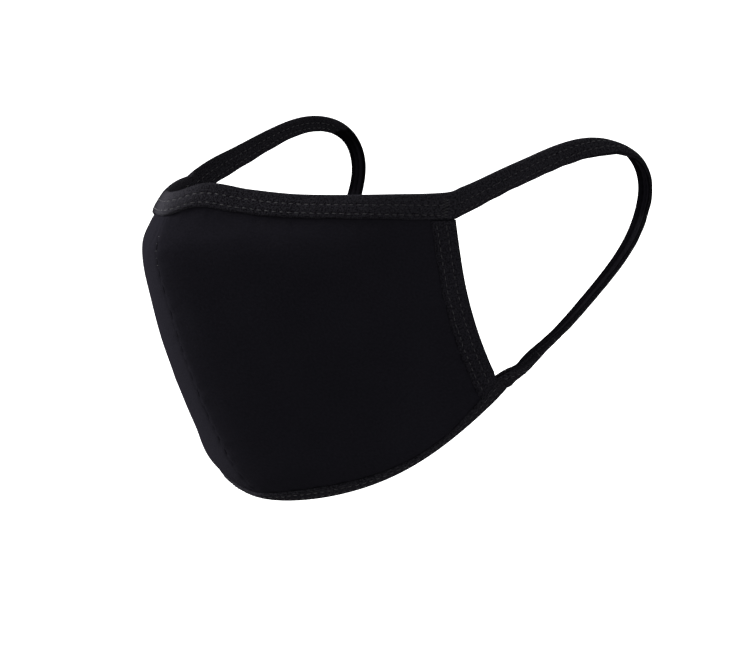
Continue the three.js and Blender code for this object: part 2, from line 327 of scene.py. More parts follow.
# ---------------------------------------------------------------- materials
class Shader:
    """Short ways to add nodes to one material."""

    def __init__(self, name):
        self.material = bpy.data.materials.new(name)
        self.material.use_nodes = True
        self.tree = self.material.node_tree
        self.surface = self.tree.nodes["Principled BSDF"]

    def add(self, kind, **settings):
        node = self.tree.nodes.new(kind)
        for key, value in settings.items():
            setattr(node, key, value)
        return node

    def link(self, source, target):
        self.tree.links.new(source, target)

    def math(self, operation, first, second=0.0, third=0.0):
        node = self.add("ShaderNodeMath", operation=operation)
        for socket, value in zip(node.inputs, (first, second, third)):
            if isinstance(value, (int, float)):
                socket.default_value = value
            else:
                self.link(value, socket)
        return node.outputs[0]

    def noise(self, place, scale, detail=2.0, roughness=0.5):
        node = self.add("ShaderNodeTexNoise")
        self.link(place, node.inputs["Vector"])
        node.inputs["Scale"].default_value = scale
        node.inputs["Detail"].default_value = detail
        node.inputs["Roughness"].default_value = roughness
        return node.outputs["Fac"]

    def between(self, share, low, high):
        """A colour between two, by a share from 0 to 1. low may be another node's colour."""
        node = self.add("ShaderNodeMix", data_type="RGBA")
        self.link(share, node.inputs["Factor"])
        if isinstance(low, tuple):
            node.inputs["A"].default_value = (*low, 1)
        else:
            self.link(low, node.inputs["A"])
        node.inputs["B"].default_value = (*high, 1)
        return node.outputs["Result"]

    def relief(self, height, strength, depth):
        """Fine relief from a height, where depth is what a height of 1 stands for."""
        node = self.add("ShaderNodeBump")
        node.inputs["Strength"].default_value = strength
        node.inputs["Distance"].default_value = depth * MM
        self.link(height, node.inputs["Height"])
        self.link(node.outputs["Normal"], self.surface.inputs["Normal"])

    def fixed(self, values):
        """Values that are the same all over the surface, by the names of their sockets."""
        for socket, value in values.items():
            self.surface.inputs[socket].default_value = value

    def attribute(self, name):
        """A value that the mesh gives at each point, or 0 where it gives none."""
        return self.add("ShaderNodeAttribute", attribute_name=name).outputs["Fac"]


def knit_height(shader, place, wale, course):
    """The height of plain knitting: columns of small V shapes, wale wide and course tall."""
    split = shader.add("ShaderNodeSeparateXYZ")
    shader.link(place, split.inputs[0])
    wale_place = shader.math("DIVIDE", split.outputs["X"], wale)
    course_place = shader.math("DIVIDE", split.outputs["Y"], course)
    centred = shader.math("SUBTRACT", shader.math("FRACT", wale_place), 0.5)
    from_middle = shader.math("MULTIPLY", shader.math("ABSOLUTE", centred), 2.0)
    slanted = shader.math("MULTIPLY_ADD", from_middle, 0.75, course_place)
    loop_wave = shader.math("COSINE", shader.math("MULTIPLY", slanted, 2 * math.pi))
    leg_wave = shader.math("SINE", shader.math("MULTIPLY", from_middle, math.pi))
    loops = shader.math("MULTIPLY_ADD", loop_wave, 0.3, 0.6)
    return shader.math("MULTIPLY", loops, leg_wave)


# Near black: painted shade on the ear loops' inner side behind the ear.
PAINTED_SHADE_COLOUR = (0.0011, 0.0010, 0.0014)


def cloth_material(
    name, dark, light, wale, course, knit_depth, fleck_size, fleck_contrast, fuzz, highlight_colour=None
):
    """Matt knitted cloth: a knit relief, flecks of lighter fibre and broad uneven dyeing.
    Cloth that has a highlight colour also takes a painted highlight where its mesh gives one,
    and painted shade, smooth and dark, where its mesh gives that."""
    shader = Shader(name)
    place = shader.add("ShaderNodeUVMap", uv_map="cloth").outputs["UV"]
    body_place = shader.add("ShaderNodeTexCoord").outputs["Object"]
    flecks = shader.noise(place, 1 / fleck_size, detail=3.0, roughness=0.7)
    dyeing = shader.noise(body_place, 45.0, detail=3.0)
    fleck_shade = shader.math("MULTIPLY", flecks, fleck_contrast)
    shade = shader.math("MULTIPLY_ADD", dyeing, 0.4, fleck_shade)
    shade = shader.math("SUBTRACT", shade, fleck_contrast / 2 - 0.3)
    colour = shader.between(shade, dark, light)
    knit = knit_height(shader, place, wale, course)
    fibres = shader.noise(place, 4.0, detail=4.0, roughness=0.75)
    height = shader.math("MULTIPLY_ADD", fibres, 0.5, knit)
    # Painted highlight on the top binding at the nose, and painted shade, smooth and dark, on the
    # ear loops' inner side.
    if highlight_colour:
        painted_highlight = shader.attribute("painted_highlight")
        colour = shader.between(shader.math("MULTIPLY", painted_highlight, flecks), colour, highlight_colour)
        painted_shade = shader.attribute("painted_shade")
        colour = shader.between(painted_shade, colour, PAINTED_SHADE_COLOUR)
        height = shader.math("MULTIPLY", height, shader.math("SUBTRACT", 1.0, painted_shade))
    shader.link(colour, shader.surface.inputs["Base Color"])
    shader.relief(height, 1.0, knit_depth)
    shader.fixed({
        "Roughness": 0.92,
        "Specular IOR Level": 0.0,
        "Sheen Weight": fuzz,
        "Sheen Roughness": 0.45,
        "Sheen Tint": (0.72, 0.68, 0.80, 1),
    })
    return shader.material


def thread_material(name, dark, light):
    """Twisted sewing thread, a little glossier and paler than the cloth."""
    shader = Shader(name)
    place = shader.add("ShaderNodeUVMap", uv_map="cloth").outputs["UV"]
    split = shader.add("ShaderNodeSeparateXYZ")
    shader.link(place, split.inputs[0])
    plies = shader.math("MULTIPLY_ADD", split.outputs["X"], 2.2, split.outputs["Y"])
    twist = shader.math("SINE", shader.math("MULTIPLY", plies, 2 * math.pi))
    shade = shader.math("MULTIPLY_ADD", twist, 0.35, 0.5)
    shader.link(shader.between(shade, dark, light), shader.surface.inputs["Base Color"])
    shader.relief(twist, 0.8, 0.08)
    shader.fixed({"Roughness": 0.5, "Specular IOR Level": 0.3})
    return shader.material


PANEL_CLOTH = cloth_material(
    "panel_cloth", dark=(0.0042, 0.0040, 0.0054), light=(0.0100, 0.0095, 0.0126),
    wale=0.62, course=0.5, knit_depth=0.09,
    fleck_size=0.8, fleck_contrast=1.3, fuzz=0.01,
)
# The tape's paler colour is a painted highlight, used only on the top binding at the nose.
TAPE_CLOTH = cloth_material(
    "binding_tape", dark=(0.0030, 0.0028, 0.0038), light=(0.0192, 0.0185, 0.0222),
    highlight_colour=(0.030, 0.029, 0.034), wale=0.95, course=0.7, knit_depth=0.24,
    fleck_size=0.6, fleck_contrast=5.5, fuzz=0.008,
)
HEM_CLOTH = cloth_material(
    "hem_cloth", dark=(0.0030, 0.0028, 0.0038), light=(0.0160, 0.0152, 0.0190),
    wale=0.9, course=0.7, knit_depth=0.24,
    fleck_size=0.6, fleck_contrast=5.0, fuzz=0.01,
)
THREAD = thread_material("stitch_thread", dark=(0.008, 0.0077, 0.0093), light=(0.021, 0.020, 0.024))

# ---------------------------------------------------------------- panels
PANEL_COLUMNS = 150
PANEL_ROWS = 160
SEAM_CROWDING = 1.25
SEAM_PRESS = 0.06
SEAM_TURN_IN = 0.12
SEAM_PULL = 0.7
SEAM_ALLOWANCE = 6.0
SEAM_ALLOWANCE_THICKNESS = 0.5

# Small creases of the worn cloth. side is the panel, from_seam and down say where the
# middle of the crease is in the cloth, tilt is the way it runs from level in degrees, and
# height is above the cloth, or below it where negative. Millimetres.
CREASE_COLUMNS = ("side", "from_seam", "down", "length", "width", "tilt", "height")
CREASE_ROWS = (
    (-1, 3.2, 16.0, 4.0, 1.1, 70, -0.45),
    (-1, 9.0, 24.0, 7.0, 2.2, 35, 0.3),
    (1, 60.0, 62.0, 16.0, 3.0, 10, -0.30),
    (1, 64.0, 57.0, 17.0, 3.2, 12, 0.30),
    (1, 93.0, 75.5, 3.4, 1.0, -22, -0.7),
    (1, 90.0, 70.0, 5.0, 1.4, -12, 0.35),
    (1, 91.0, 62.0, 5.5, 1.6, 15, -0.28),
    (1, 92.0, 50.0, 5.0, 1.6, 20, -0.22),
    (1, 24.0, 20.0, 9.0, 2.6, -12, 0.25),
    (1, 46.0, 16.0, 8.0, 2.4, 8, 0.22),
    (-1, 60.0, 30.0, 10.0, 3.0, -15, 0.25),
    (-1, 88.0, 66.0, 5.0, 1.5, 15, -0.3),
    (-1, 52.0, 70.0, 15.0, 3.4, -8, 0.3),
)


def crease_relief(side, from_seam, down):
    """The creases of one panel, as a height over its cloth."""
    total = np.zeros_like(from_seam)
    for row in CREASE_ROWS:
        crease = dict(zip(CREASE_COLUMNS, row))
        if crease["side"] != side:
            continue
        turn = math.radians(crease["tilt"])
        right = from_seam - crease["from_seam"]
        below = down - crease["down"]
        along = right * math.cos(turn) + below * math.sin(turn)
        over = below * math.cos(turn) - right * math.sin(turn)
        total += crease["height"] * bump(along, crease["length"]) * bump(over, crease["width"])
    return total


# Puckers where the sewing pulls the cloth in, beside each edge: their height, their length
# along the edge, and how far they reach from it. Those beside the hem grow down the mask.
PUCKER_COLUMNS = ("edge", "height", "wavelength", "reach")
PUCKER_ROWS = (
    ("top", 0.13, 5.5, 3.5),
    ("bottom", 0.15, 6.0, 4.0),
    ("hem", 0.10, 6.5, 4.5),
    ("seam", 0.12, 6.0, 3.5),
)
HEM_PUCKER_GROWTH = 0.16
WAVE_HEIGHT = 0.35

# The cloth is smooth where the tapes and hems cover it, this far in from its edges.
FOLD_COVER = 7


def cloth_relief(side, from_seam, down, from_side, from_bottom):
    """How far the cloth stands proud of its smooth shape: broad soft waves, puckers where
    the sewing pulls it in, and the creases."""
    open_rows = ease((down - BINDING_WIDTH) / 10) * ease((from_bottom - BINDING_WIDTH) / 10)
    open_cloth = open_rows * ease(from_seam / 10) * ease((from_side - HEM_WIDTH) / 10)
    seed = 20 + side
    broad = ripple(seed, from_seam + 0.4 * down, 44) * ripple(seed + 3, down - 0.3 * from_seam, 38)
    relief = WAVE_HEIGHT * broad * open_cloth
    edges = {
        "top": (np.maximum(down - BINDING_WIDTH, 0), from_seam, 0),
        "bottom": (np.maximum(from_bottom - BINDING_WIDTH, 0), from_seam, 0),
        "hem": (np.maximum(from_side - HEM_WIDTH, 0), down, HEM_PUCKER_GROWTH * ease(down / 60)),
        "seam": (from_seam, down, 0),
    }
    for index, row in enumerate(PUCKER_ROWS):
        pucker = dict(zip(PUCKER_COLUMNS, row))
        distance, along, growth = edges[pucker["edge"]]
        wave = ripple(seed + 5 + 2 * index, along, pucker["wavelength"])
        relief += (pucker["height"] + growth) * wave * bump(distance, pucker["reach"])
    relief += crease_relief(side, from_seam, down)
    relief -= SEAM_PULL * bump(from_seam, 7) * open_rows
    for distance in (down, from_bottom, from_side):
        relief = relief * ease((distance - FOLD_COVER) / 4)
    return relief


def make_panel(name, side):
    """One cut panel. Its front edge turns in and presses against the other panel's at the
    seam, and behind the seam its allowance lies back against its inner face."""
    shares = np.linspace(0, 1, PANEL_COLUMNS) ** SEAM_CROWDING
    down_shares = np.linspace(0, 1, PANEL_ROWS)
    even = side * shares
    ends = levels_at_depths(even, np.full((PANEL_COLUMNS, 1), EDGE_IN_FOLD), False)
    lower_ends = levels_at_depths(even, np.full((PANEL_COLUMNS, 1), EDGE_IN_FOLD), True)
    level = (ends + (lower_ends - ends) * down_shares[None, :]).T
    side_x = value_at(LEVELS, "at", "side_x", level)
    seam_swing = -side * np.arcsin(SEAM_PRESS / side_x) / QUARTER_TURN
    insets = np.full((PANEL_ROWS, 1), EDGE_IN_FOLD)
    side_swing = swings_at_insets(level[:, -1], insets, side)
    swing = seam_swing + (side_swing - seam_swing) * shares[None, :]

    middle = surface(level, swing)
    normal = surface_normal(level, swing)
    from_seam = lengths_along(middle)
    from_side = from_seam[:, -1:] - from_seam + EDGE_IN_FOLD
    down = lengths_along(middle.transpose(1, 0, 2)).T + EDGE_IN_FOLD
    from_bottom = down[-1:] - down + EDGE_IN_FOLD
    relief = cloth_relief(side, from_seam, down, from_side, from_bottom)

    turned_in = SEAM_TURN_IN * bump(from_seam, 0.75)
    allowance = SEAM_ALLOWANCE_THICKNESS * ease((SEAM_ALLOWANCE - from_seam) / 0.7)
    allowance *= ease((down - BINDING_WIDTH) / 1.5) * ease((from_bottom - BINDING_WIDTH) / 1.5)
    outer = middle + normal * (relief + PANEL_THICKNESS / 2 - turned_in)[..., None]
    inner = middle + normal * (relief - PANEL_THICKNESS / 2 - allowance)[..., None]

    points = np.concatenate([outer.reshape(-1, 3), inner.reshape(-1, 3)])
    layer = PANEL_ROWS * PANEL_COLUMNS
    grid = np.arange(layer).reshape(PANEL_ROWS, PANEL_COLUMNS)
    skin = grid_faces(PANEL_ROWS, PANEL_COLUMNS)
    walls = []
    for edge in (grid[0, ::-1], grid[-1], grid[:, 0], grid[::-1, -1]):
        walls.append(np.stack([edge[:-1], edge[1:], edge[1:] + layer, edge[:-1] + layer], axis=-1))
    faces = np.concatenate([skin, (skin + layer)[:, ::-1], *walls])
    place = np.stack([from_seam, down], axis=-1).reshape(-1, 2)
    return add_piece(
        name + "_cloth", points, outward_faces(points, faces.tolist()),
        np.concatenate([place, place]), PANEL_CLOTH, replaces=[name],
    )


# ---------------------------------------------------------------- folded tape
FACE_POINTS = 30
FOLD_POINTS = 7
SLOT_POINTS = 5
FREE_EDGE_GAP = 0.05
FREE_EDGE_CLOSING = 2.2
FOLD_ROUNDING = 1.3
GROOVE_DEPTH = 0.3
GROOVE_WIDTH = 0.55
TAPE_CROWN = 0.14
TAPE_SWELL = 0.07
EDGE_WANDER = 0.16


def face_shares():
    """Places across a tape's face from its fold to its free edge, closer together at the
    stitch rows, with one exactly on each row."""
    even = np.linspace(0, 1, FACE_POINTS)
    for row in STITCH_ROWS:
        even[np.argmin(np.abs(even - row))] = row
    return even


FACE_SHARES = face_shares()
ROW_INDEX = [int(np.argmin(np.abs(FACE_SHARES - row))) for row in STITCH_ROWS]
INNER_FACE = FACE_POINTS + FOLD_POINTS
OUTLINE_COUNT = INNER_FACE + FACE_POINTS + 2 * SLOT_POINTS


def tape_section(
    width, slot, wall, slot_end, run, seed,
    share=FACE_SHARES[None, :], free_edge=0.25, edge_rounding=0.7,
):
    """The outline of a folded tape at each station. x is the distance in from the fold and
    y the height above the tape's middle. The arrays have a row for each station. share
    spaces the points across a face, where the stitch rows keep their own points. free_edge
    is how much of its thickness a wall keeps at its free edge, and edge_rounding is how far
    in from there it is thinner.

    The outline runs over the outer face from the free edge to the fold, round the fold,
    back over the inner face, and along both walls of the slot between the two."""
    run = run[:, None]
    width, slot, wall, slot_end = (
        np.broadcast_to(np.asarray(value, float).reshape(-1, 1), run.shape)
        for value in (width, slot, wall, slot_end)
    )
    inset = FOLD_ROUNDING + (width - FOLD_ROUNDING) * share
    closing = np.maximum(slot - PANEL_THICKNESS / 2 - FREE_EDGE_GAP, 0)

    def face_height(face_seed):
        """The height of a face above the tape's middle, with its sunk stitch rows."""
        from_free = width - inset
        rounded = np.sqrt(np.clip(1 - (1 - from_free / edge_rounding).clip(0, 1) ** 2, 0, 1))
        height = slot + wall * (free_edge + (1 - free_edge) * rounded)
        height = height - closing * (1 - ease(from_free / FREE_EDGE_CLOSING))
        height = height + TAPE_CROWN * (1 - (2 * share - 1) ** 2)
        pull = 0.7 + 0.3 * np.cos(2 * math.pi * run / STITCH_PITCH)
        for index in ROW_INDEX:
            groove = bump((share - share[:, index: index + 1]) * width, GROOVE_WIDTH)
            height = height - GROOVE_DEPTH * pull * groove
        swell = ripple(face_seed, run + 3 * share, 7.0) * (1 - bump(share * width, 1.5))
        return height + TAPE_SWELL * swell * rounded

    wander = EDGE_WANDER * ripple(seed + 1, run, 11.0) * share**3
    outer_x = (inset + wander)[:, ::-1]
    outer_y = face_height(seed)[:, ::-1]
    turn = np.linspace(0, math.pi, FOLD_POINTS + 2)[1:-1][None, :]
    start = face_height(seed)[:, :1]
    fold_x = FOLD_ROUNDING * (1 - np.sin(turn)) + 0 * start
    fold_y = start * np.cos(turn)
    inner_x = inset + wander
    inner_y = -face_height(seed + 2)
    inner_y = inner_y - start - inner_y[:, :1]
    steps = np.linspace(0, 1, SLOT_POINTS)[None, :]
    reach = width + wander[:, -1:]
    wall_x = reach + (slot_end - reach) * steps
    slot_x = np.concatenate([wall_x, wall_x[:, ::-1]], axis=1)
    wall_y = slot - closing * (1 - ease((reach - wall_x) / FREE_EDGE_CLOSING))
    slot_y = np.concatenate([-wall_y, wall_y[:, ::-1]], axis=1)
    x = np.concatenate([outer_x, fold_x, inner_x, slot_x], axis=1)
    y = np.concatenate([outer_y, fold_y, inner_y, slot_y], axis=1)
    return x, y


def outline_runs(x, y):
    """The distance run round each outline, as the cloth's place across its weave."""
    return lengths_along(np.stack([x, y], axis=-1))


def add_tape(name, rings, x, y, run, material, painted_highlight=None, painted_shade=None):
    """A tape as one piece, from its rings of points and their outlines."""
    stations = len(rings)
    points = rings.reshape(-1, 3)
    across = outline_runs(x, y)
    place = np.stack([across, np.broadcast_to(run[:, None], across.shape)], axis=-1)
    faces = outward_faces(points, swept_faces(stations, OUTLINE_COUNT))
    return add_piece(
        name + "_tape", points, faces, place.reshape(-1, 2), material,
        replaces=[name], painted_highlight=painted_highlight, painted_shade=painted_shade,
    )


# ---------------------------------------------------------------- stitches
class Thread:
    """Gathers short pieces of thread into one mesh."""

    SIDES = 6

    def __init__(self, seed):
        self.random = np.random.default_rng(seed)
        self.points = []
        self.faces = []
        self.places = []

    def strand(self, line, radius=THREAD_RADIUS):
        """A round strand along a short line of points, with closed ends."""
        line = np.asarray(line)
        along = unit(np.gradient(line, axis=0))
        helper = np.array([0.31, 0.52, 0.79])
        first = unit(np.cross(along, helper))
        second = np.cross(along, first)
        angles = np.arange(self.SIDES) * 2 * math.pi / self.SIDES
        rings = len(line)
        thickness = radius * np.sin(np.linspace(0.22, 1, rings) * math.pi / 2)
        thickness = np.minimum(thickness, thickness[::-1])
        circle = (
            np.cos(angles)[None, :, None] * first[:, None, :]
            + np.sin(angles)[None, :, None] * second[:, None, :]
        )
        start = sum(len(block) for block in self.points)
        ring_points = line[:, None, :] + circle * thickness[:, None, None]
        self.points.append(ring_points.reshape(-1, 3))
        skin = grid_faces(rings, self.SIDES, closed=True) + start
        last = start + (rings - 1) * self.SIDES
        self.faces.extend(skin.tolist())
        self.faces.append([start + side for side in reversed(range(self.SIDES))])
        self.faces.append([last + side for side in range(self.SIDES)])
        run = lengths_along(line)
        turn = np.arange(self.SIDES) / self.SIDES
        self.places.append(
            np.stack(np.broadcast_arrays(run[:, None], turn[None, :]), axis=-1).reshape(-1, 2)
        )

    def row(self, path, normal, margin):
        """A row of even stitches along a path on the cloth, but for a margin at each end.
        Each stitch dips in at its ends."""
        run = lengths_along(path)
        sideways = unit(np.cross(np.gradient(path, axis=0), normal))

        def at(values, place):
            """Rows of values at places along the path."""
            return np.stack([np.interp(place, run, values[:, axis]) for axis in range(3)], axis=-1)

        rise = np.array(STITCH_RISE) - STITCH_SUNK
        for index in range(int((run[-1] - margin - margin) / STITCH_PITCH)):
            middle = margin + (index + 0.5) * STITCH_PITCH
            length = STITCH_LENGTH * self.random.uniform(0.9, 1.08)
            place = middle + np.linspace(-0.5, 0.5, len(rise)) * length
            slant = np.linspace(-1, 1, len(rise)) * self.random.uniform(-0.12, 0.12)
            shift = self.random.uniform(-0.05, 0.05) + slant
            lift = rise + self.random.uniform(-0.03, 0.03)
            line = at(path, place) + at(normal, place) * lift[:, None]
            self.strand(line + at(sideways, place) * shift[:, None])

    def build(self, name):
        """One piece from all the strands so far."""
        points = np.concatenate(self.points)
        add_piece(name, points, self.faces, np.concatenate(self.places), THREAD)


def outline_normals(rings):
    """The outward direction at each point of a sweep's rings."""
    around = np.roll(rings, -1, axis=1) - np.roll(rings, 1, axis=1)
    along = np.gradient(rings, axis=0)
    normal = unit(np.cross(around, along))
    outer = rings[:, FACE_POINTS // 2]
    inner = rings[:, INNER_FACE + FACE_POINTS // 2]
    facing = np.sum(normal[:, FACE_POINTS // 2] * (outer - inner), axis=-1)
    return normal * np.where(facing > 0, 1, -1)[:, None, None]


OUTER_ROWS = [FACE_POINTS - 1 - index for index in ROW_INDEX]
INNER_ROWS = [INNER_FACE + index for index in ROW_INDEX]


def stitch_rows(thread, rings, columns):
    """A row of stitches along each of some columns of a tape's points."""
    normals = outline_normals(rings)
    for column in columns:
        thread.row(rings[:, column], normals[:, column], margin=1.0)


def stitch_tape(name, rings, seed, bar_tacks=()):
    """Both stitch rows, on both faces of a tape, and any bar tacks across it. A bar tack is
    a short dense zigzag at a distance along the tape, or back from its end if negative."""
    thread = Thread(seed)
    stitch_rows(thread, rings, OUTER_ROWS + INNER_ROWS)
    normals = outline_normals(rings)
    for distance in bar_tacks:
        add_bar_tack(thread, rings, normals, distance)
    thread.build(name)


# Short overcast stitches that close the free edges of each loop's lower strap. Each value is
# a stitch's distance from the strap's lower end.
EDGE_STITCHES = (17, 25, 32, 34, 38, 40, 41.5, 47, 48.5, 50, 57)

# One overcast stitch, from a wall's outside over its free edge. inward runs in from the
# edge, through is a share of the way to the other wall, and proud is towards that wall.
EDGE_STITCH_COLUMNS = ("inward", "through", "proud")
EDGE_STITCH_ROWS = (
    (1.0, 0.0, -0.35),
    (-0.1, 0.0, -0.35),
    (-0.35, 0.15, 0.0),
    (-0.2, 0.4, 0.0),
)
EDGE_STITCH = as_table(EDGE_STITCH_COLUMNS, EDGE_STITCH_ROWS)
EDGE_STITCH_RADIUS = 0.2


def edge_stitches(thread, rings, run):
    """The overcast stitches over a loop's outer free edge."""
    outer, inner = 0, INNER_FACE + FACE_POINTS - 1
    for distance in EDGE_STITCHES:
        station = int(np.argmin(np.abs(run[-1] - run - distance)))
        ring = rings[station]
        inward = unit(ring[FACE_POINTS // 2] - ring[outer])
        through = ring[inner] - ring[outer]
        line = (
            ring[outer]
            + EDGE_STITCH["inward"][:, None] * inward
            + EDGE_STITCH["through"][:, None] * through
            + EDGE_STITCH["proud"][:, None] * unit(through)
        )
        thread.strand(line, radius=EDGE_STITCH_RADIUS)


BAR_TACK_WIDTH = 2.4
BAR_TACK_STRANDS = 13
BAR_TACK_MARGIN = 0.08
BAR_TACK_LIFT = (-0.05, 0.2, 0.2, -0.05)
BAR_TACK_RADIUS = 0.15


def add_bar_tack(thread, rings, normals, distance):
    """A zigzag across both faces of a tape."""
    outer_face = slice(1, FACE_POINTS - 1)
    inner_face = slice(INNER_FACE + 1, INNER_FACE + FACE_POINTS - 1)
    middle_run = lengths_along(rings[:, FACE_POINTS // 2])
    station = int(np.argmin(np.abs(middle_run - distance % middle_run[-1])))
    steps = np.linspace(0, 1, len(BAR_TACK_LIFT))
    for face in (outer_face, inner_face):
        line = rings[station, face]
        normal = normals[station, face]
        along = unit(rings[min(station + 1, len(rings) - 1), face] - rings[station - 1, face])
        run = lengths_along(line)
        for strand in range(BAR_TACK_STRANDS):
            part = (strand + steps) / BAR_TACK_STRANDS
            place = run[-1] * (BAR_TACK_MARGIN + (1 - 2 * BAR_TACK_MARGIN) * part)
            swing = (steps - 0.5) * BAR_TACK_WIDTH * (1 if strand % 2 else -1)
            nearest = np.interp(place, run, np.arange(len(run)))
            index = np.clip(np.round(nearest).astype(int), 0, len(run) - 1)
            base = np.stack([np.interp(place, run, line[:, axis]) for axis in range(3)], axis=-1)
            lift = normal[index] * np.array(BAR_TACK_LIFT)[:, None]
            thread.strand(base + along[index] * swing[:, None] + lift, radius=BAR_TACK_RADIUS)


# ---------------------------------------------------------------- bindings and hems
STATION_STEP = 0.43
TACK_INSET = 5.0
# A painted highlight on the top binding over the nose: how strong, where and how wide.
NOSE_HIGHLIGHT = 1.1
NOSE_SWING = -0.04
NOSE_REACH = 0.09
HEM_WALL_SHARE = 0.8
HEM_FROM_SWING = 0.8


def make_binding(name, from_bottom, seed):
    """A tape folded over the top or bottom edge, from corner to corner. Gives back its
    rings of points, which the ear loops run on from. The top one has a painted highlight at the
    nose."""
    edge_level = 1.0 if from_bottom else 0.0
    fine = np.linspace(-1, 1, 801)
    run_fine = lengths_along(surface(edge_level, fine))
    stations = int(run_fine[-1] / STATION_STEP)
    run = np.linspace(0, run_fine[-1], stations)
    swing = np.interp(run, run_fine, fine)
    x, y = tape_section(BINDING_WIDTH, HALF_SLOT, TAPE_WALL, SLOT_END, run, seed)
    level = levels_at_depths(swing, x, from_bottom)
    rings = offset_point(level, swing[:, None], y)
    # Painted highlight over the nose, on the top binding only.
    painted_highlight = None
    if not from_bottom:
        painted_highlight = np.repeat(NOSE_HIGHLIGHT * bump(swing - NOSE_SWING, NOSE_REACH), OUTLINE_COUNT)
    add_tape(name, rings, x, y, run, TAPE_CLOTH, painted_highlight)
    tacks = () if from_bottom else (TACK_INSET, -TACK_INSET)
    stitch_tape(name + "_stitches", rings, seed + 50, bar_tacks=tacks)
    return rings


def make_hem(name, side, seed):
    """A narrow fold that closes a panel's side edge, between the two bindings. Its ends
    follow the bindings' edges."""
    swings = side * np.linspace(HEM_FROM_SWING, 1, 41)
    depths = np.full((len(swings), 1), BINDING_WIDTH + GAP)
    firsts = levels_at_depths(swings, depths, False)[:, 0]
    lasts = levels_at_depths(swings, depths, True)[:, 0]
    fine = np.linspace(firsts[-1], lasts[-1], 401)
    run_fine = lengths_along(surface(fine, side))
    run = np.linspace(0, run_fine[-1], int(run_fine[-1] / STATION_STEP))
    side_level = np.interp(run, run_fine, fine)
    share = ((side_level - fine[0]) / (fine[-1] - fine[0]))[:, None]
    x, y = tape_section(
        HEM_WIDTH, HALF_SLOT, TAPE_WALL * HEM_WALL_SHARE, SLOT_END, run, seed,
        free_edge=0.06, edge_rounding=2.4,
    )
    swing = swings_at_insets(side_level, x, side)
    first = np.interp(np.abs(swing), np.abs(swings), firsts)
    last = np.interp(np.abs(swing), np.abs(swings), lasts)
    rings = offset_point(first + (last - first) * share, swing, y)
    piece = add_tape(name, rings, x, y, run, HEM_CLOTH)
    stitch_tape(name + "_stitches", rings, seed + 50)
    return piece


# ---------------------------------------------------------------- ear loops
def spline(places, values, wanted):
    """A natural cubic spline through rows of values, at the wanted places."""
    steps = np.diff(places)
    count = len(places)
    matrix = np.eye(count)
    target = np.zeros_like(values)
    for row in range(1, count - 1):
        matrix[row, row - 1: row + 2] = (
            steps[row - 1],
            2 * (steps[row - 1] + steps[row]),
            steps[row],
        )
        rises = np.diff(values[row - 1: row + 2], axis=0) / steps[row - 1: row + 1, None]
        target[row] = 6 * (rises[1] - rises[0])
    bends = np.linalg.solve(matrix, target)
    index = np.clip(np.searchsorted(places, wanted, side="right") - 1, 0, count - 2)
    width = steps[index][:, None]
    ahead = (wanted - places[index])[:, None]
    behind = width - ahead
    return (
        (bends[index] * behind**3 + bends[index + 1] * ahead**3) / (6 * width)
        + (values[index] / width - bends[index] * width / 6) * behind
        + (values[index + 1] / width - bends[index + 1] * width / 6) * ahead
    )


def flat_frame(along, side):
    """A ribbon's face lying flat against the cheek, and the way across it to the loop's
    inside."""
    outward = np.broadcast_to([side, 0.0, 0.0], along.shape)
    face = unit(outward - along * np.sum(outward * along, axis=-1, keepdims=True))
    return face, np.cross(along, face) * side


def corner(side, from_bottom):
    """Where a binding ends: the middle of its end, and the turn of its face there."""
    depth = np.array([[BINDING_WIDTH / 2]])
    level = levels_at_depths([side], depth, from_bottom)[0, 0]
    end = surface(level, side)
    away = unit(end - surface(level, side * (1 - FINE_STEP)))
    along = -away if from_bottom else away
    face, inward = flat_frame(along[None, :], side)
    normal = surface_normal(level, side)
    turn = math.degrees(math.atan2(normal @ inward[0], normal @ face[0]))
    return end, turn


# How far along a loop it takes the shape of each binding's end. Away from its ends the tape
# spreads and its walls nearly meet, and its walls are bunched up above the lower corner.
UPPER_BLEND = 5.5
LOWER_BLEND = 7.0
LOOP_SPREAD = 1.0
LOOP_SLIT = 0.06
LOOP_SLOT_INSET = 0.7
BUNCHED_AT = 13.0
BUNCHED_REACH = 9.0
BUNCHED_SWELL = 0.9
LOOP_STITCH_ROWS = (0.27, 0.69)
CREST_REACH = 45.0

# The rows of the loop's table where the painted shade on its inner side starts and where it
# eases, how much lighter it is there, and the share of the face past which it is lighter still.
PAINTED_SHADE_ROWS = (6, 9)
SHADE_EASING = 0.05
EDGE_SHADE_EASING = 0.12
EDGE_EASING_SHARE = 0.45


def loop_shares(run):
    """The places across a loop's face at each station. Its stitch rows drift towards the
    fold, as the tape is drawn round the ear."""
    drawn = np.interp(FACE_SHARES, (0, *STITCH_ROWS, 1), (0, *LOOP_STITCH_ROWS, 1))
    amount = np.minimum(ease(run / CREST_REACH), ease((run[-1] - run) / CREST_REACH))
    return FACE_SHARES[None, :] + (drawn - FACE_SHARES)[None, :] * amount[:, None]


def loop_painted_shade(run, shade_places):
    """Which points of a loop take painted shade on its inner side behind the ear, where its
    weave is also smoothed away. It starts sharply at the crest. Below the ear the painted shade
    is a little lighter and some weave shows, more so in the half beside the free edges."""
    share = np.linspace(0, 1, FACE_POINTS)[None, :]
    start, shade_easing_start = shade_places
    below = ease((run - shade_easing_start) / 5)[:, None]
    edge_easing = EDGE_SHADE_EASING * ease((share - EDGE_EASING_SHARE) / 0.2)
    inner = 1 - below * (SHADE_EASING + edge_easing)
    painted_shade = np.zeros((len(run), OUTLINE_COUNT))
    painted_shade[:, FACE_POINTS + FOLD_POINTS // 2: INNER_FACE] = inner[:, :1]
    painted_shade[:, INNER_FACE: INNER_FACE + FACE_POINTS] = inner
    reach = ease((run - start) / 1.2) * ease((run[-1] - run) / 6)
    return (reach[:, None] * painted_shade).ravel()


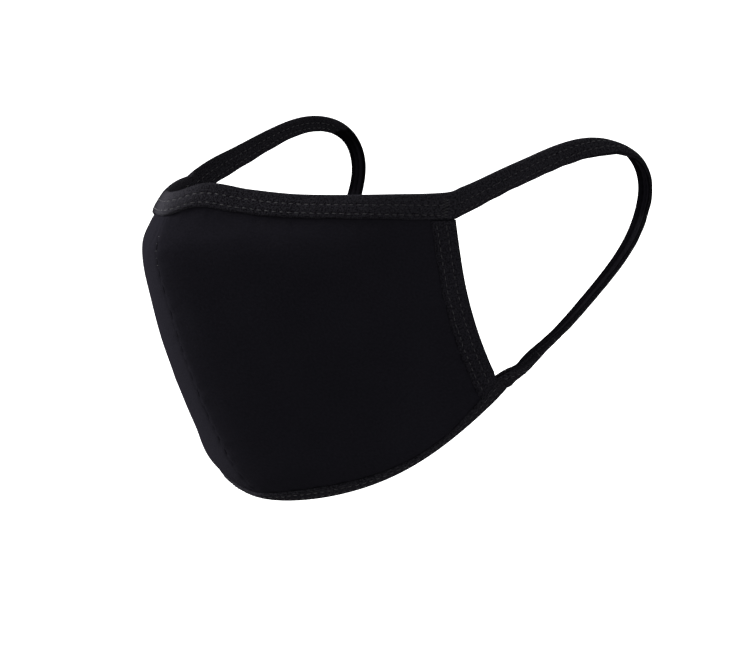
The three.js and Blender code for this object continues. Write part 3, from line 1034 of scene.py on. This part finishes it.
def make_ear_loop(name, side, seed, upper_end, lower_end):
    """A loop of the folded tape, from one binding's end to the other's. upper_end and
    lower_end are the last rings of those bindings, which the loop runs on from."""
    ends = [corner(side, False), corner(side, True)]
    route = np.stack([side * LOOP["x"], LOOP["y"], LOOP["z"]], axis=-1)
    shape = np.stack([LOOP["turn"], LOOP["width"]], axis=-1)
    (first, first_turn), (last, last_turn) = ends
    route = np.array([first, *route, last])
    shape = np.array([[first_turn, LOOP_END_WIDTH], *shape, [last_turn, LOOP_END_WIDTH]])
    places = lengths_along(route)
    run = np.linspace(0, places[-1], int(places[-1] / STATION_STEP))
    centre = spline(places, route, run)
    turn, width = spline(places, shape, run).T
    along = unit(np.gradient(centre, axis=0))
    face, inward = flat_frame(along, side)
    turn = np.radians(turn)[:, None]
    normal = face * np.cos(turn) + inward * np.sin(turn)
    across = np.cross(along, normal) * side

    to_end = run[-1] - run
    joined = 1 - np.minimum(ease(run / UPPER_BLEND), ease(to_end / LOWER_BLEND))
    width = width + LOOP_SPREAD * (1 - joined)
    slit = LOOP_SLIT + (HALF_SLOT - LOOP_SLIT) * joined
    wall = LOOP_THICKNESS / 2 + (TAPE_WALL - LOOP_THICKNESS / 2) * joined
    wall = wall * (1 + BUNCHED_SWELL * bump(to_end - BUNCHED_AT, BUNCHED_REACH))
    slot_end = width - LOOP_SLOT_INSET
    slot_end = slot_end + (SLOT_END - slot_end) * joined
    x, y = tape_section(
        width, slit, wall, slot_end, run, seed, loop_shares(run), free_edge=0.6
    )
    from_middle = 2 * x / width[:, None] - 1
    curled = y + LOOP_CURL * (0.5 - from_middle**2)
    rings = (
        centre[:, None, :]
        + across[:, None, :] * (x - width[:, None] / 2)[..., None]
        + normal[:, None, :] * curled[..., None]
    )
    for near, station, distance, blend in (
        (upper_end, 0, run, UPPER_BLEND),
        (lower_end, -1, to_end, LOWER_BLEND),
    ):
        weight = (1 - ease(distance / blend))[:, None, None]
        carried = near[None, :, :] + (centre - centre[station])[:, None, :]
        rings = rings * (1 - weight) + carried * weight
    # Where the painted shade on the loop's inner side starts and where it eases.
    shade_places = places[[row + 1 for row in PAINTED_SHADE_ROWS]]
    painted_shade = loop_painted_shade(run, shade_places)
    add_tape(name, rings, x, y, run, TAPE_CLOTH, painted_shade=painted_shade)
    thread = Thread(seed + 50)
    stitch_rows(thread, rings, OUTER_ROWS)
    stitch_rows(thread, rings[run < shade_places[0]], INNER_ROWS)
    edge_stitches(thread, rings, run)
    thread.build(name + "_stitches")


# ---------------------------------------------------------------- centre seam
SEAM_STITCH_PITCH = 2.6
SEAM_STITCH_RADIUS = 0.12
SEAM_STITCH_RISE = (-0.2, 0.0, 0.0, -0.2)
SEAM_PULLED_OPEN = 14.0


def make_seam_stitches():
    """Threads of the centre seam, which show as small specks where it is pulled open."""
    thread = Thread(7)
    sideways = np.array([1.0, 0.0, 0.0])
    level = np.linspace(0.09, 0.95, 800)
    line = surface(level, 0.0)
    outward = surface_normal(level, 0.0)
    run = lengths_along(line)
    for place in np.arange(1.0, run[-1] - 1.0, SEAM_STITCH_PITCH):
        index = int(np.argmin(np.abs(run - place)))
        reach = thread.random.uniform(0.35, 0.55)
        down = unit(line[min(index + 1, len(line) - 1)] - line[index - 1])
        slant = thread.random.uniform(-0.25, 0.25)
        steps = np.array([-1, -0.4, 0.4, 1]) * reach
        sunk = 0.12 + 0.5 * ease((place - SEAM_PULLED_OPEN) / 8)
        rise = np.array(SEAM_STITCH_RISE) - sunk
        points = (
            line[index]
            + sideways * steps[:, None]
            + down * (steps * slant)[:, None]
            + outward[index] * rise[:, None]
        )
        thread.strand(points, radius=SEAM_STITCH_RADIUS)
    thread.build("centre_seam_stitches")


left_panel = make_panel("left_panel", 1)
right_panel = make_panel("right_panel", -1)
top_rings = make_binding("top_binding", False, 100)
bottom_rings = make_binding("bottom_binding", True, 200)
left_hem = make_hem("left_side_hem", 1, 300)
right_hem = make_hem("right_side_hem", -1, 400)
make_ear_loop("left_ear_loop", 1, 500, top_rings[-1], bottom_rings[-1])
make_ear_loop("right_ear_loop", -1, 600, top_rings[0], bottom_rings[0])
make_seam_stitches()

# ---------------------------------------------------------------- camera, floor and light
VIEW_AZIMUTH = 47.0
VIEW_ELEVATION = 5.0
VIEW_DISTANCE = 5.0
VIEW_RIGHT = 0.06503
VIEW_DOWN = 0.05194
SENSOR_WIDTH = 36.0
VIEW_WIDTH = 0.26167


def view_axes():
    """The camera's right, up and back directions."""
    azimuth, elevation = math.radians(VIEW_AZIMUTH), math.radians(VIEW_ELEVATION)
    back = Vector((
        math.sin(azimuth) * math.cos(elevation),
        -math.cos(azimuth) * math.cos(elevation),
        math.sin(elevation),
    ))
    right = Vector((math.cos(azimuth), math.sin(azimuth), 0))
    return right, back.cross(right), back


def make_camera():
    """The photo's own view. The VIEW distances are in metres."""
    right, up, back = view_axes()
    data = bpy.data.cameras.new("camera")
    data.sensor_width = SENSOR_WIDTH
    data.lens = SENSOR_WIDTH * VIEW_DISTANCE / VIEW_WIDTH
    camera = add_object("camera", data)
    camera.location = right * VIEW_RIGHT - up * VIEW_DOWN + back * VIEW_DISTANCE
    camera.rotation_euler = Matrix((right, up, back)).transposed().to_euler()
    bpy.context.scene.camera = camera


FLOOR_DROP = 0.25
FLOOR_HALF_SIZE = 14.0
FLOOR_GLOW = 0.35


def make_floor():
    """A plain pale floor, below the mask, which is held up as it is worn. It throws no
    light back onto the mask."""
    mesh = bpy.data.meshes.new("floor")
    corners = [(-1, -1), (1, -1), (1, 1), (-1, 1)]
    mesh.from_pydata(
        [(x * FLOOR_HALF_SIZE, y * FLOOR_HALF_SIZE, -FLOOR_DROP) for x, y in corners],
        [], [(0, 1, 2, 3)],
    )
    shader = Shader("floor")
    shader.fixed({
        "Base Color": (0.86, 0.86, 0.86, 1),
        "Roughness": 0.9,
        "Emission Color": (1, 1, 1, 1),
        "Emission Strength": FLOOR_GLOW,
    })
    mesh.materials.append(shader.material)
    floor = add_object("floor", mesh)
    floor.visible_diffuse = False
    floor.visible_glossy = False


# Each light comes from a direction in the camera's own axes: right, up and towards it.
LIGHT_COLUMNS = ("name", "right", "up", "back", "strength", "softness")
LIGHT_ROWS = (
    ("key", -0.92, 0.40, -0.12, 9.2, 30),
    ("top", 0.10, 0.96, 0.10, 0.15, 50),
    ("fill", 0.35, 0.25, 0.90, 0.65, 70),
)


def make_lights():
    """Broad soft suns. softness is a sun's angle in degrees."""
    right, up, back = view_axes()
    for row in LIGHT_ROWS:
        light = dict(zip(LIGHT_COLUMNS, row))
        data = bpy.data.lights.new(light["name"], "SUN")
        data.energy = light["strength"]
        data.angle = math.radians(light["softness"])
        lamp = add_object(light["name"], data)
        source = right * light["right"] + up * light["up"] + back * light["back"]
        lamp.rotation_euler = source.to_track_quat("Z", "Y").to_euler()


AMBIENT = 0.7


def make_world():
    """A white studio, whose walls light the mask more dimly than they look."""
    world = bpy.data.worlds.new("studio")
    world.use_nodes = True
    nodes, links = world.node_tree.nodes, world.node_tree.links
    output = nodes["World Output"]
    seen = nodes["Background"]
    lighting = nodes.new("ShaderNodeBackground")
    for background, strength in ((seen, 1.0), (lighting, AMBIENT)):
        background.inputs["Color"].default_value = (1, 1, 1, 1)
        background.inputs["Strength"].default_value = strength
    rays = nodes.new("ShaderNodeLightPath")
    choose = nodes.new("ShaderNodeMixShader")
    links.new(rays.outputs["Is Camera Ray"], choose.inputs["Fac"])
    links.new(lighting.outputs[0], choose.inputs[1])
    links.new(seen.outputs[0], choose.inputs[2])
    links.new(choose.outputs[0], output.inputs["Surface"])
    bpy.context.scene.world = world


make_camera()
make_floor()
make_lights()
make_world()
bpy.context.scene.view_settings.view_transform = "Standard"
